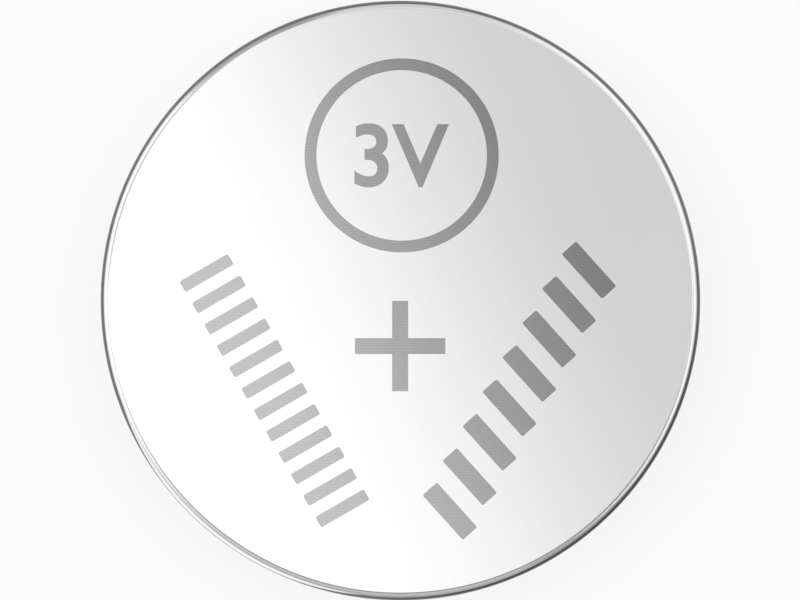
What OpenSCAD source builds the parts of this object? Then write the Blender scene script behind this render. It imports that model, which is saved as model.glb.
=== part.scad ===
// Lithium coin cell, 20 mm across and 3.2 mm thick.
// The cell lies as it rests on a table: the negative contact face is at z = 0,
// the positive face is up, and the axis of the cell is the Z axis.
// Every piece is a true section turned about that axis, apart from the collector
// grid, which is a pierced disc. All sizes are in millimetres.

/* [Cell] */
// Diameter over the wall of the positive can
cell_d = 20; // [16:0.1:26]
// Height from the negative contact face to the positive face
cell_h = 3.2; // [2.7:0.1:6]

/* [Positive can] */
// Thickness of the can's steel sheet
can_t = 0.25; // [0.15:0.01:0.35]
// Inside radius of the corner round the positive face
can_bend_r = 0.05; // [0.02:0.01:0.3]
// Angle through which the can's mouth is curled in over the seal
crimp_angle = 80; // [60:1:90]
// Distance from the negative contact face up to the curled rim
rim_setback = 0.25; // [0.05:0.01:0.5]

/* [Negative cap] */
// Thickness of the cap's steel sheet
cap_t = 0.25; // [0.15:0.01:0.35]
// Inside radius of the corner round the contact face
contact_bend_r = 0.1; // [0.02:0.01:0.2]
// Outside radius where the riser turns out into the shoulder
root_bend_r = 0.15; // [0.05:0.01:0.2]
// Inside radius of the corner between the shoulder and the skirt
shoulder_bend_r = 0.05; // [0.02:0.01:0.3]
// Width of the flat ring of the shoulder
shoulder_w = 0.58; // [0.45:0.01:1]
// Lean of the riser away from upright, in degrees
riser_lean = 12; // [0:1:25]

/* [Gasket] */
// Thickness of the gasket between the can and the cap
gasket_t = 0.3; // [0.2:0.01:0.4]
// Thickness of the gasket's foot between the skirt's end and the can's floor
foot_t = 0.35; // [0.25:0.01:0.5]
// Thickness of the lip that stands inside the skirt
lip_t = 0.3; // [0.2:0.01:0.4]
// Height of that lip along the skirt
lip_h = 0.6; // [0.3:0.01:0.9]
// Straight length of the tongue that shows past the curled rim
tongue_l = 0.1; // [0.05:0.01:0.2]
// Bevel on the foot beyond what the can's inside corner needs
foot_relief = 0.07; // [0.03:0.01:0.15]
// Bevel on the foot's inner edge
foot_edge = 0.1; // [0.05:0.01:0.15]

/* [Lithium anode] */
// Thickness of the lithium disc
lithium_h = 0.65; // [0.4:0.01:0.9]
// Gap all round between the lithium disc and the edge of the cap's floor
lithium_gap = 0.1; // [0.05:0.01:0.5]
// Radius of the disc's blunted edges
lithium_edge_r = 0.08; // [0.02:0.01:0.15]

/* [Separator] */
// Thickness of the separator felt
separator_t = 0.2; // [0.1:0.01:0.3]
// Height of the upturned rim above the separator's floor
separator_rim_h = 0.7; // [0.4:0.05:0.9]
// Gap all round between the cathode pellet and the separator's rim
separator_gap = 0.1; // [0.02:0.01:0.2]
// Inside radius of the separator's upturned corner
separator_bend_r = 0.1; // [0.05:0.01:0.15]

/* [Cathode pellet] */
// How much smaller the pellet's radius is than the lithium disc's
cathode_inset = 0.15; // [0:0.01:0.5]
// Bevel on both edges of the pressed pellet
cathode_bevel = 0.15; // [0.05:0.01:0.3]

/* [Collector grid] */
// Thickness of the expanded metal grid
grid_t = 0.1; // [0.05:0.01:0.15]
// How much smaller the grid's radius is than the pellet's
grid_inset = 0.35; // [0.1:0.05:1]
// Distance between diamond openings along their long way
mesh_l = 2.1; // [1.8:0.1:3]
// Distance between diamond openings along their short way
mesh_w = 1.15; // [1:0.05:2]
// Width of the strands between the openings
strand_w = 0.22; // [0.1:0.01:0.3]

/* [Hidden] */

// Facets of a turned section, and the angle between the points of a bend
turn_fn = 180;
bend_step = 5;

// Heights of the two inside floors
cap_floor_z = cap_t;
can_floor_z = cell_h - can_t;

// Positive can: wall and the centre of its face corner
can_r = cell_d / 2;
bore_r = can_r - can_t;
can_corner_r = can_bend_r + can_t;
can_corner = [can_r - can_corner_r, cell_h - can_corner_r];

// Crimp: the cap's shoulder corner, the gasket and the can's curl share one centre
shoulder_corner_r = shoulder_bend_r + cap_t;
gasket_curl_r = shoulder_corner_r + gasket_t;
crimp_r = gasket_curl_r + can_t;
crimp_c = [can_r - crimp_r, rim_setback + crimp_r * sin(crimp_angle)];

// Negative cap: skirt, shoulder, and the riser that is tangent to the bends at its ends
skirt_r = bore_r - gasket_t;
skirt_in_r = skirt_r - cap_t;
skirt_end_z = can_floor_z - foot_t;
shoulder_z = crimp_c.y - shoulder_corner_r;
contact_corner_r = contact_bend_r + cap_t;
riser_bends_r = contact_corner_r + root_bend_r;
riser_l = (shoulder_z - riser_bends_r * (1 - sin(riser_lean))) / cos(riser_lean);
root_c = [crimp_c.x - shoulder_w, shoulder_z - root_bend_r];
contact_flat_r = root_c.x - riser_bends_r * cos(riser_lean) - riser_l * sin(riser_lean);
contact_c = [contact_flat_r, contact_corner_r];

// Gasket: bevel of the foot, inner face of the lip, and the round ends of lip and tongue
foot_bevel = can_bend_r + foot_relief;
lip_r = skirt_in_r - lip_t;
lip_end_c = [lip_r + lip_t / 2, skirt_end_z - lip_h + lip_t / 2];
tongue_end_c = [crimp_c.x - tongue_l, shoulder_z - gasket_t / 2];

// Stack of inner pieces, from the cap's floor up to the can's floor
lithium_r = contact_flat_r - lithium_gap;
lithium_top_z = cap_floor_z + lithium_h;
cathode_z = lithium_top_z + separator_t;
cathode_r = lithium_r - cathode_inset;
grid_z = can_floor_z - grid_t;
separator_in_r = cathode_r + separator_gap;
separator_corner_r = separator_bend_r + separator_t;
separator_c = [separator_in_r - separator_bend_r, cathode_z + separator_bend_r];
grid_r = cathode_r - grid_inset;

// Points of a bend from one angle to another, in equal steps counted from the first angle
function arc(c, r, from, to) =
    let (span = abs(to - from), way = sign(to - from))
    [for (i = [0:ceil(span / bend_step)])
        let (a = from + way * min(i * bend_step, span))
        c + r * [cos(a), sin(a)]];

function reversed(points) = [for (i = [len(points) - 1:-1:0]) points[i]];

// One side of the cap's sheet, from the axis to the skirt's end, moved inwards by depth
function cap_side(depth) = concat(
    [[0, depth]],
    arc(contact_c, contact_corner_r - depth, -90, -riser_lean),
    arc(root_c, root_bend_r + depth, 180 - riser_lean, 90),
    reversed(arc(crimp_c, shoulder_corner_r - depth, 0, -90)),
    [[skirt_r - depth, skirt_end_z]]);

// Drawn steel cup with its floor up, and its mouth curled in over the gasket
module positive_can() {
    outside = concat(
        [[0, cell_h]],
        arc(can_corner, can_corner_r, 90, 0),
        arc(crimp_c, crimp_r, 0, -crimp_angle));
    inside = concat(
        [[0, can_floor_z]],
        arc(can_corner, can_bend_r, 90, 0),
        arc(crimp_c, gasket_curl_r, 0, -crimp_angle));
    color("#d8d8d9")
        rotate_extrude($fn = turn_fn)
            polygon(concat(outside, reversed(inside)));
}

// Moulded ring that insulates the cap from the can: foot, wall, inner lip and curled tongue
module sealing_gasket() {
    foot = [
        [lip_r, can_floor_z - foot_edge],
        [lip_r + foot_edge, can_floor_z],
        [bore_r - foot_bevel, can_floor_z],
        [bore_r, can_floor_z - foot_bevel]];
    skirt_seat = [
        [skirt_r, skirt_end_z],
        [skirt_in_r, skirt_end_z]];
    color("#2c2c2e")
        rotate_extrude($fn = turn_fn)
            polygon(concat(
                arc(crimp_c, gasket_curl_r, 0, -90),
                arc(tongue_end_c, gasket_t / 2, -90, -270),
                reversed(arc(crimp_c, shoulder_corner_r, 0, -90)),
                skirt_seat,
                arc(lip_end_c, lip_t / 2, 0, -180),
                foot));
}

// Drawn steel cap: contact face, riser, shoulder and the skirt that stands in the gasket
module negative_cap() {
    color("#cfcfd0")
        rotate_extrude($fn = turn_fn)
            polygon(concat(cap_side(0), reversed(cap_side(cap_t))));
}

// Disc cut from lithium strip and pressed on the cap's floor, with blunt edges
module lithium_anode() {
    edge_in_r = lithium_r - lithium_edge_r;
    color("#b9bcc0")
        rotate_extrude($fn = turn_fn)
            polygon(concat(
                [[0, cap_floor_z]],
                arc([edge_in_r, cap_floor_z + lithium_edge_r], lithium_edge_r, -90, 0),
                arc([edge_in_r, lithium_top_z - lithium_edge_r], lithium_edge_r, 0, 90),
                [[0, lithium_top_z]]));
}

// Nonwoven dish that wraps the foot of the pellet
module separator() {
    rim_z = cathode_z + separator_rim_h;
    color("#f2f1ec")
        rotate_extrude($fn = turn_fn)
            polygon(concat(
                [[0, lithium_top_z]],
                arc(separator_c, separator_corner_r, -90, 0),
                [[separator_in_r + separator_t, rim_z], [separator_in_r, rim_z]],
                reversed(arc(separator_c, separator_bend_r, -90, 0)),
                [[0, cathode_z]]));
}

// Pressed tablet of manganese dioxide and carbon, which fills the height that is left
module cathode_pellet() {
    color("#2a2a2b")
        rotate_extrude($fn = turn_fn)
            polygon([
                [0, cathode_z],
                [cathode_r - cathode_bevel, cathode_z],
                [cathode_r, cathode_z + cathode_bevel],
                [cathode_r, grid_z - cathode_bevel],
                [cathode_r - cathode_bevel, grid_z],
                [0, grid_z]]);
}

// Diamond openings of the expanded metal, in staggered rows, kept a strand inside the edge
module mesh_openings() {
    slant = sqrt(mesh_l * mesh_l + mesh_w * mesh_w);
    half_l = mesh_l / 2 - strand_w * slant / (2 * mesh_w);
    half_w = mesh_w / 2 - strand_w * slant / (2 * mesh_l);
    rows = ceil(2 * grid_r / mesh_w);
    columns = ceil(grid_r / mesh_l) + 1;
    for (row = [-rows:rows], column = [-columns:columns]) {
        x = (column + (row % 2 == 0 ? 0 : 0.5)) * mesh_l;
        y = row * mesh_w / 2;
        reach = max(norm([abs(x) + half_l, y]), norm([x, abs(y) + half_w]));
        if (reach < grid_r - strand_w)
            translate([x, y])
                polygon([[half_l, 0], [0, half_w], [-half_l, 0], [0, -half_w]]);
    }
}

// Expanded steel grid that joins the pellet to the can's floor
module collector_grid() {
    color("#a9a9ab")
        translate([0, 0, grid_z])
            linear_extrude(grid_t)
                difference() {
                    circle(grid_r, $fn = turn_fn);
                    mesh_openings();
                }
}

positive_can();
sealing_gasket();
negative_cap();
lithium_anode();
separator();
cathode_pellet();
collector_grid();
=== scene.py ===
# %% [markdown]
# # A lithium coin cell
#
# The cell is a small sealed pot: a drawn steel can with its floor up, a drawn steel cap that stands
# in its mouth, and a moulded ring that keeps the two apart while the can's mouth is curled in over
# it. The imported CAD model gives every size. This file keeps that frame and gives the pieces the
# fine edges, marks and finishes that a camera sees from close by.

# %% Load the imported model
import math

import bmesh
import bpy
from mathutils import Matrix, Vector


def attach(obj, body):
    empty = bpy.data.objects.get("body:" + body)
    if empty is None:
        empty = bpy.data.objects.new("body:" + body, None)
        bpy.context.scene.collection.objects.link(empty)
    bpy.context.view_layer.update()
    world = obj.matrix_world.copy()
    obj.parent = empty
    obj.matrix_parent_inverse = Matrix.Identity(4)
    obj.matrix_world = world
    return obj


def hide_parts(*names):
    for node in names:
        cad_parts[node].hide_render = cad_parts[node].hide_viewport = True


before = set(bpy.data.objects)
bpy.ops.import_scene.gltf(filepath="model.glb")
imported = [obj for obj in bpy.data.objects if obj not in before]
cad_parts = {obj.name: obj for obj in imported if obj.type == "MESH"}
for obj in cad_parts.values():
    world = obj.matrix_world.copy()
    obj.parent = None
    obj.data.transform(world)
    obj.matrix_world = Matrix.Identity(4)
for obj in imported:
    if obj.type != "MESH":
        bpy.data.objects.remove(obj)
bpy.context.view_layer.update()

print("CAD nodes:", sorted(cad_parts))

# %% [markdown]
# ## Sizes
#
# A cell this small is drawn in millimetres and Blender works in metres, so one value, MM, turns one
# into the other. The sizes below say again what the CAD source says, because the fine sections have
# to follow the same sheet of steel. Heights are measured up from the face that the cell rests on.

# %% Sizes in millimetres
MM = 0.001
CELL_R = 10.0
CELL_H = 3.2
SHEET = 0.25
GASKET_T = 0.3
BORE_R = CELL_R - SHEET
CAN_FLOOR_Z = CELL_H - SHEET
CAN_CORNER = (9.7, 2.9)
CRIMP_CENTRE = (9.15, 1.08709)
CRIMP_ANGLE = 80
SKIRT_R = 9.45
SKIRT_END_Z = 2.6
print("flat part of the positive face:", 2 * CAN_CORNER[0], "mm across")

# %% [markdown]
# ## Camera
#
# The photograph looks straight down on the cell, which fills the height of the frame. A real table-top
# camera would stand a few lengths of the cell away. The distance matters here: a flat mirror shows
# each part of itself a different piece of the ceiling, and the nearer the camera, the wider that
# piece. At 60 mm the positive face shows a cone about 19 degrees wide, which is enough for the soft
# change from bright to less bright that runs across it.

# %% Camera
CAMERA_DISTANCE = 60.0
SENSOR_W = 36.0
FRAME_W_PX = 800
PX_PER_MM = 30.12
PHOTO_CENTRE_OFFSET_PX = (0.46, 0.58)

camera_data = bpy.data.cameras.new("camera")
camera_data.sensor_width = SENSOR_W
camera_data.lens = SENSOR_W * CAMERA_DISTANCE * PX_PER_MM / FRAME_W_PX
camera_data.clip_start = 0.001
camera_data.clip_end = 10
camera = bpy.data.objects.new("camera", camera_data)
bpy.context.scene.collection.objects.link(camera)
camera.location = (
    -PHOTO_CENTRE_OFFSET_PX[0] / PX_PER_MM * MM,
    PHOTO_CENTRE_OFFSET_PX[1] / PX_PER_MM * MM,
    (CELL_H + CAMERA_DISTANCE) * MM)
bpy.context.scene.camera = camera
print("lens:", round(camera_data.lens, 2), "mm")

# %% [markdown]
# ## Helpers for colours and nodes
#
# Colours are written as the sRGB codes that a paint picker shows. A shader works with linear light,
# so one function does that sum for every colour. A pattern's scale is worked out from a real size:
# a noise of scale 1000 has one lump in each millimetre. One function adds any node, in a material
# or in a Geometry Nodes tree. It sets the node's own options and then fills its sockets: each gets a
# value, a colour code, another node's socket, or a node, whose first socket in use is linked.

# %% Colour, pattern and node helpers
def linear(code):
    """Turn an sRGB hex code into the linear colour that a socket holds."""
    shares = [int(code[start:start + 2], 16) / 255 for start in (1, 3, 5)]
    channels = [share / 12.92 if share <= 0.04045 else ((share + 0.055) / 1.055) ** 2.4
                for share in shares]
    return (*channels, 1.0)


def every(size_mm):
    """Scale of a pattern that repeats about every so many millimetres."""
    return 1 / (size_mm * MM)


def towards(heading):
    """Level direction at a heading in degrees."""
    return (math.cos(math.radians(heading)), math.sin(math.radians(heading)), 0)


def add_node(tree, kind, inputs=None, **settings):
    """Add a node with its own options as settings, and with what each of its inputs gets."""
    node = tree.nodes.new(kind)
    for name, value in settings.items():
        setattr(node, name, value)
    for key, value in (inputs or {}).items():
        if isinstance(value, bpy.types.Node):
            value = next(socket for socket in value.outputs if socket.enabled)
        if isinstance(value, bpy.types.NodeSocket):
            tree.links.new(value, node.inputs[key])
        else:
            node.inputs[key].default_value = linear(value) if isinstance(value, str) else value
    return node


print("mid grey #808080 is", round(linear("#808080")[0], 3), "in linear light")

# %% [markdown]
# The finishes have four things in common. Each starts as a material with an empty tree. Many have
# streaks, which are noise that is drawn out one way. Tones lie over each other like coats of paint:
# a short table has a row for each coat, with its name, its share, what is under it and what is over
# it, and either of these may be a coat further up. A fine relief and a surface come last.

# %% Helpers for finishes
# Sockets of a Mix node that mixes colours, and of one that mixes plain numbers
MIX_A, MIX_B = 6, 7
BLEND_A, BLEND_B = 2, 3


def new_finish(name):
    """Make a material with an empty tree, and return it, its tree and the place on the object."""
    finish = bpy.data.materials.new(name)
    finish.use_nodes = True
    finish.node_tree.nodes.clear()
    where = add_node(finish.node_tree, "ShaderNodeTexCoord")
    return finish, finish.node_tree, where.outputs["Object"]


def streaks(tree, place, size_mm, detail, stretch, turn=0.0):
    """Add noise that is drawn out: stretch has the share of its scale that is left each way."""
    laid = add_node(tree, "ShaderNodeMapping",
                    {"Vector": place, "Rotation": (0, 0, turn), "Scale": stretch})
    return add_node(tree, "ShaderNodeTexNoise",
                    {"Vector": laid, "Scale": every(size_mm), "Detail": detail})


def coats(tree, table):
    """Lay coats of tone over each other and return the last one."""
    tones = {}
    for name, share, under, over in table:
        tones[name] = add_node(
            tree, "ShaderNodeMix",
            {0: share, MIX_A: tones.get(under, under), MIX_B: tones.get(over, over)},
            data_type="RGBA")
    return tones[name]


def surfaced(tree, relief, skin):
    """End a finish: relief has the inputs of its bump and skin those of its surface."""
    bump = add_node(tree, "ShaderNodeBump", relief)
    surface = add_node(tree, "ShaderNodeBsdfPrincipled", {**skin, "Normal": bump})
    add_node(tree, "ShaderNodeOutputMaterial", {"Surface": surface})
    print("nodes in this finish:", len(tree.nodes))


print("a pattern of 0.1 mm has the scale", round(every(0.1)))

# %% [markdown]
# ## Floor
#
# A sheet of matt white card. It is far wider than the picture, so that its edge never shows in the
# side views, and matt, so that the cell keeps a soft shadow under its rim. The photograph's ground is
# pure white, so a part of what the camera sees of the card is a plain white glow: Light Path tells
# camera rays from the others. Rays that a shiny piece sends out get the same glow, so that the metal
# mirrors the ground that the camera sees. The glow lights nothing and the shadow stays.

# %% Floor of white card
FLOOR_HALF = 1.0
FLOOR_DROP = 0.004
GLOW_SHARE = 0.75

card, tree, place = new_finish("matt white card")
fibres = add_node(tree, "ShaderNodeTexNoise", {"Vector": place, "Scale": every(1.5), "Detail": 3})
tone = add_node(tree, "ShaderNodeMix", {0: fibres, MIX_A: "#f9f9f9", MIX_B: "#fafafa"},
                data_type="RGBA")
surface = add_node(tree, "ShaderNodeBsdfPrincipled",
                   {"Base Color": tone, "Roughness": 0.95, "Specular IOR Level": 0.1})
glow = add_node(tree, "ShaderNodeEmission", {"Color": "#ffffff", "Strength": 1})
ray = add_node(tree, "ShaderNodeLightPath")
seen = ray.outputs["Is Camera Ray"]
for way in ("Is Glossy Ray", "Is Transmission Ray"):
    seen = add_node(tree, "ShaderNodeMath", {0: seen, 1: ray.outputs[way]}, operation="MAXIMUM")
share = add_node(tree, "ShaderNodeMath", {0: seen, 1: GLOW_SHARE}, operation="MULTIPLY")
ground = add_node(tree, "ShaderNodeMixShader", {0: share, 1: surface, 2: glow})
add_node(tree, "ShaderNodeOutputMaterial", {"Surface": ground})

floor_mesh = bpy.data.meshes.new("floor")
floor_mesh.from_pydata(
    [(x * FLOOR_HALF, y * FLOOR_HALF, -FLOOR_DROP * MM)
     for x, y in ((-1, -1), (1, -1), (1, 1), (-1, 1))],
    [], [(0, 1, 2, 3)])
floor_mesh.materials.append(card)
floor = bpy.data.objects.new("floor", floor_mesh)
bpy.context.scene.collection.objects.link(floor)
print("floor:", 2 * FLOOR_HALF, "m wide")

# %% [markdown]
# ## Studio light
#
# The photograph looks as if it was taken in a light tent: a white ceiling that is brighter on one
# side, walls that get a little darker low down, and a dim door on the photographer's side. The
# world can be that tent, because a world colour may depend on the direction alone. The change of
# brightness passes nearly over the cell, so the flat face mirrors it as one soft slope from white to
# pale grey. The walls are hardly brighter than plain white, so that the face keeps its detail when
# it is seen from the side. Two soft lamps stand left and right and put the thin bright line on the
# rounded edge.

# %% Light tent: the ceiling's slope
SLOPE_SIDE = 25.7
BRIGHT_SIDE = 1.32
DIM_SIDE = 0.77
SLOPE_START = -0.07
SLOPE_END = 0.11

world = bpy.data.worlds.new("light tent")
world.use_nodes = True
world.node_tree.nodes.clear()
bpy.context.scene.world = world
tree = world.node_tree
aim = add_node(tree, "ShaderNodeTexCoord").outputs["Generated"]
across = add_node(tree, "ShaderNodeVectorMath", {0: aim, 1: towards(SLOPE_SIDE)},
                  operation="DOT_PRODUCT")
slope = add_node(tree, "ShaderNodeMapRange",
                 {"Value": across, "From Min": SLOPE_START, "From Max": SLOPE_END,
                  "To Min": BRIGHT_SIDE, "To Max": DIM_SIDE}, interpolation_type="SMOOTHSTEP")
print("tent light from", DIM_SIDE, "to", BRIGHT_SIDE)

# %% [markdown]
# In a world, the direction's Z is 0 at the horizon and 1 straight up. The walls follow it: they are
# darkest at the horizon, and the ceiling takes over near their top. The door is dim where a
# direction points both at its side and above its foot.

# %% Light tent: walls and door
WALL_LIGHT = 1.05
WALL_TOP = (0.6, 0.88)
EDGE_HEIGHT = 0.22
EDGE_LIGHT = 0.8
DOOR_HEADING = -85
DOOR_SIDE = (0.18, 0.55)
DOOR_FOOT = (0.2, 0.45)
DOOR_LOSS = 0.5

up = add_node(tree, "ShaderNodeSeparateXYZ", {0: aim}).outputs["Z"]
to_door = add_node(tree, "ShaderNodeVectorMath", {0: aim, 1: towards(DOOR_HEADING)},
                   operation="DOT_PRODUCT")
steps = {}
for name, value, start, end, least, most in (
        ("ceiling", up, *WALL_TOP, WALL_LIGHT, BRIGHT_SIDE),
        ("edge", up, 0, EDGE_HEIGHT, EDGE_LIGHT, 1),
        ("door side", to_door, *DOOR_SIDE, 0, DOOR_LOSS),
        ("door", up, *DOOR_FOOT, 0, "door side")):
    steps[name] = add_node(tree, "ShaderNodeMapRange",
                           {"Value": value, "From Min": start, "From Max": end,
                            "To Min": least, "To Max": steps.get(most, most)},
                           interpolation_type="SMOOTHSTEP")
past_door = add_node(tree, "ShaderNodeMath", {0: 1, 1: steps["door"]}, operation="SUBTRACT")
print("the door takes away", DOOR_LOSS, "of its side's light")

# %% Light tent: all together
capped = add_node(tree, "ShaderNodeMath", {0: slope, 1: steps["ceiling"]}, operation="MINIMUM")
walls = add_node(tree, "ShaderNodeMath", {0: steps["edge"], 1: past_door}, operation="MULTIPLY")
light = add_node(tree, "ShaderNodeMath", {0: capped, 1: walls}, operation="MULTIPLY")
tent = add_node(tree, "ShaderNodeBackground", {"Color": "#ffffff", "Strength": light})
add_node(tree, "ShaderNodeOutputWorld", {"Surface": tent})
print("tent nodes:", len(tree.nodes))

# %% [markdown]
# The lamps are wide panels that face the cell. An area lamp's power is spread over its panel, so
# the power is worked out from the brightness that the panel should have.

# %% Soft lamps left and right
LAMP_DISTANCE = 0.5
LAMP_W = 0.75
LAMP_H = 0.28


def soft_lamp(name, heading, height, brightness):
    """Put a panel lamp at a heading and height in degrees, facing the cell."""
    data = bpy.data.lights.new(name, "AREA")
    data.shape = "RECTANGLE"
    data.size = LAMP_W
    data.size_y = LAMP_H
    data.energy = brightness * math.pi * LAMP_W * LAMP_H
    lamp = bpy.data.objects.new(name, data)
    bpy.context.scene.collection.objects.link(lamp)
    flat = math.cos(math.radians(height))
    lamp.location = LAMP_DISTANCE * Vector((
        flat * math.cos(math.radians(heading)),
        flat * math.sin(math.radians(heading)),
        math.sin(math.radians(height))))
    lamp.rotation_euler = lamp.location.to_track_quat("Z", "Y").to_euler()
    print(name, "power:", round(data.energy, 3), "W")


soft_lamp("lamp right", heading=8, height=54, brightness=0.5)
soft_lamp("lamp left", heading=190, height=36, brightness=0.1)

# %% [markdown]
# ## Sections
#
# Almost every piece of the cell is turned: one section, swept once round the axis. Each section
# here is a list of points, radius and height in millimetres, in the order in which a finger would
# follow the sheet. A bend is a part of a circle, cut into small steps. Where a bend runs into a flat
# part, one more point a little way along the flat keeps the smooth shading of the bend from
# spreading over the flat, which would spoil its mirror image.

# %% Bends and softened corners
BEND_STEP = 4
FLAT_LEAD = 0.02


def bend(centre, radius, start, end, lead_in=0.0, lead_out=0.0):
    """Points of a bend from one angle to another, with a point on the flat before and after."""
    way = 1 if end > start else -1
    count = math.ceil(abs(end - start) / BEND_STEP)
    angles = [math.radians(start + (end - start) * step / count) for step in range(count + 1)]
    points = [Vector((centre[0] + radius * math.cos(a), centre[1] + radius * math.sin(a)))
              for a in angles]
    along = [Vector((-math.sin(a), math.cos(a))) * way for a in (angles[0], angles[-1])]
    if lead_in:
        points.insert(0, points[0] - along[0] * lead_in)
    if lead_out:
        points.append(points[-1] + along[1] * lead_out)
    return points


def softened(before, corner, after, cut):
    """Points that round off a corner, starting so far before it and ending so far after it."""
    before, corner, after = Vector(before), Vector(corner), Vector(after)
    start = corner + (before - corner).normalized() * cut
    end = corner + (after - corner).normalized() * cut
    shares = (0, 0.2, 0.4, 0.6, 0.8, 1)
    return [start * (1 - s) ** 2 + corner * 2 * s * (1 - s) + end * s ** 2 for s in shares]


def on_curl(radius, angle=-CRIMP_ANGLE):
    """Point of the crimp at a radius and an angle about its centre."""
    a = math.radians(angle)
    return Vector((CRIMP_CENTRE[0] + radius * math.cos(a), CRIMP_CENTRE[1] + radius * math.sin(a)))


print("a quarter bend has", len(bend((0, 0), 1, 0, 90)), "points")

# %% [markdown]
# ## A lathe in Geometry Nodes
#
# The rule is the same for each piece: section in, turned solid out. So one node tree does it for
# all. Curve to Mesh carries the section round a circle whose radius is the same as the section's
# own shift from the axis, so each point lands at its true radius. Points that meet on the axis are
# merged into one, which closes the poles. Every tree here starts with named inputs and ends with
# real geometry that wears its finish, so two functions do that for all of them.

# %% Lathe tree
LATHE_FACETS = 360
POINT_MERGE = 0.0005


def new_geometry(name, inputs):
    """Make a Geometry Nodes tree with named inputs, and return it and the inputs' sockets."""
    tree = bpy.data.node_groups.new(name, "GeometryNodeTree")
    for label, kind in inputs.items():
        tree.interface.new_socket(label, in_out="INPUT", socket_type="NodeSocket" + kind)
    tree.interface.new_socket("Made", in_out="OUTPUT", socket_type="NodeSocketGeometry")
    return tree, tree.nodes.new("NodeGroupInput").outputs


def handed_out(tree, geometry, finish):
    """Make instances real, give the whole its finish and end the tree with it."""
    real = add_node(tree, "GeometryNodeRealizeInstances", {0: geometry})
    dressed = add_node(tree, "GeometryNodeSetMaterial", {"Geometry": real, "Material": finish})
    add_node(tree, "NodeGroupOutput", {0: dressed})
    print("nodes in this tree:", len(tree.nodes))


lathe, given = new_geometry("lathe", {
    "Section": "Geometry", "Shift": "Float", "Facets": "Int", "Merge": "Float",
    "Finish": "Material"})
section = add_node(lathe, "GeometryNodeMeshToCurve", {"Mesh": given["Section"]})
path = add_node(lathe, "GeometryNodeCurvePrimitiveCircle",
                {"Resolution": given["Facets"], "Radius": given["Shift"]})
swept = add_node(lathe, "GeometryNodeCurveToMesh", {"Curve": path, "Profile Curve": section})
closed = add_node(lathe, "GeometryNodeMergeByDistance",
                  {"Geometry": swept, "Distance": given["Merge"]})
handed_out(lathe, closed, given["Finish"])

# %% [markdown]
# A node tree works on an object while its modifier is there. The first function hands the modifier
# its values by each socket's identifier, takes the result out as a plain mesh and throws the helper
# object away. The second one makes a closed mesh point outwards. The third one lays a section out
# as edges and turns it.

# %% Run a tree and turn a section
def grown(tree, values, mesh=None):
    """Run a Geometry Nodes tree and return the mesh that it makes."""
    helper = bpy.data.objects.new("helper", mesh or bpy.data.meshes.new("helper"))
    bpy.context.scene.collection.objects.link(helper)
    modifier = helper.modifiers.new("tree", "NODES")
    modifier.node_group = tree
    for item in tree.interface.items_tree:
        if item.in_out == "INPUT" and item.name in values:
            modifier[item.identifier] = values[item.name]
    graph = bpy.context.evaluated_depsgraph_get()
    result = bpy.data.meshes.new_from_object(helper.evaluated_get(graph), depsgraph=graph)
    bpy.data.objects.remove(helper)
    return result


def outward(mesh, merge_mm=0.0):
    """Merge doubles where asked, and make every face point outwards."""
    shell = bmesh.new()
    shell.from_mesh(mesh)
    if merge_mm:
        bmesh.ops.remove_doubles(shell, verts=shell.verts, dist=merge_mm * MM)
    bmesh.ops.recalc_face_normals(shell, faces=shell.faces)
    shell.to_mesh(mesh)
    shell.free()
    return mesh


def turned(points, finish, is_ring=False):
    """Turn a section of (radius, height) points in millimetres about the axis."""
    section_mesh = bpy.data.meshes.new("section")
    edges = [(index, index + 1) for index in range(len(points) - 1)]
    if is_ring:
        edges.append((len(points) - 1, 0))
    section_mesh.from_pydata(
        [((radius - CELL_R) * MM, -height * MM, 0) for radius, height in points], edges, [])
    values = {"Shift": CELL_R * MM, "Facets": LATHE_FACETS, "Merge": POINT_MERGE * MM,
              "Finish": finish}
    return outward(grown(lathe, values, section_mesh))


print("facets round the axis:", LATHE_FACETS)

# %% [markdown]
# A finished piece is shaded smooth, apart from the edges that should stay crisp. The CAD node that it
# takes the place of is hidden, and it rides on the cell's root body.

# %% Place a finished piece
SHARP_ANGLE = math.radians(24)


def placed(name, mesh, node):
    """Make a finished piece that rides on the cell and stands for a CAD node."""
    mesh.name = name
    mesh.shade_smooth()
    mesh.set_sharp_from_angle(angle=SHARP_ANGLE)
    piece = bpy.data.objects.new(name, mesh)
    bpy.context.scene.collection.objects.link(piece)
    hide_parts(node)
    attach(piece, "root")
    triangles = sum(len(face.vertices) - 2 for face in mesh.polygons)
    print(name, "has", triangles, "triangles")


print("edges sharper than", round(math.degrees(SHARP_ANGLE)), "degrees stay crisp")

# %% [markdown]
# ## Finish of the positive can: nickel plate on drawn steel
#
# The can is drawn from cold-rolled steel strip that is plated with nickel first. Its floor keeps the
# strip's satin: to the eye a clean mirror that has been breathed on. The wall has been dragged along
# the drawing die, which leaves fine lines up its side. The rolled grain is a few hundredths of a
# millimetre wide and is drawn here at about 0.07 mm, the finest that the picture can show. Nickel is
# a metal, so its colour is all in the mirror image.

# %% Nickel plate: grain, haze and die lines
# The die's lines run up the wall: this is the share of their scale that is left each way
UP_THE_WALL = (1, 1, 0.025)

nickel, tree, place = new_finish("satin nickel plate on drawn steel")
grain = add_node(tree, "ShaderNodeTexNoise", {"Vector": place, "Scale": every(0.07), "Detail": 2})
haze = add_node(tree, "ShaderNodeTexNoise", {"Vector": place, "Scale": every(5), "Detail": 3})
die_lines = streaks(tree, place, size_mm=0.15, detail=3, stretch=UP_THE_WALL)
print("die lines are", round(1 / UP_THE_WALL[2]), "times as long as wide")
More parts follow.
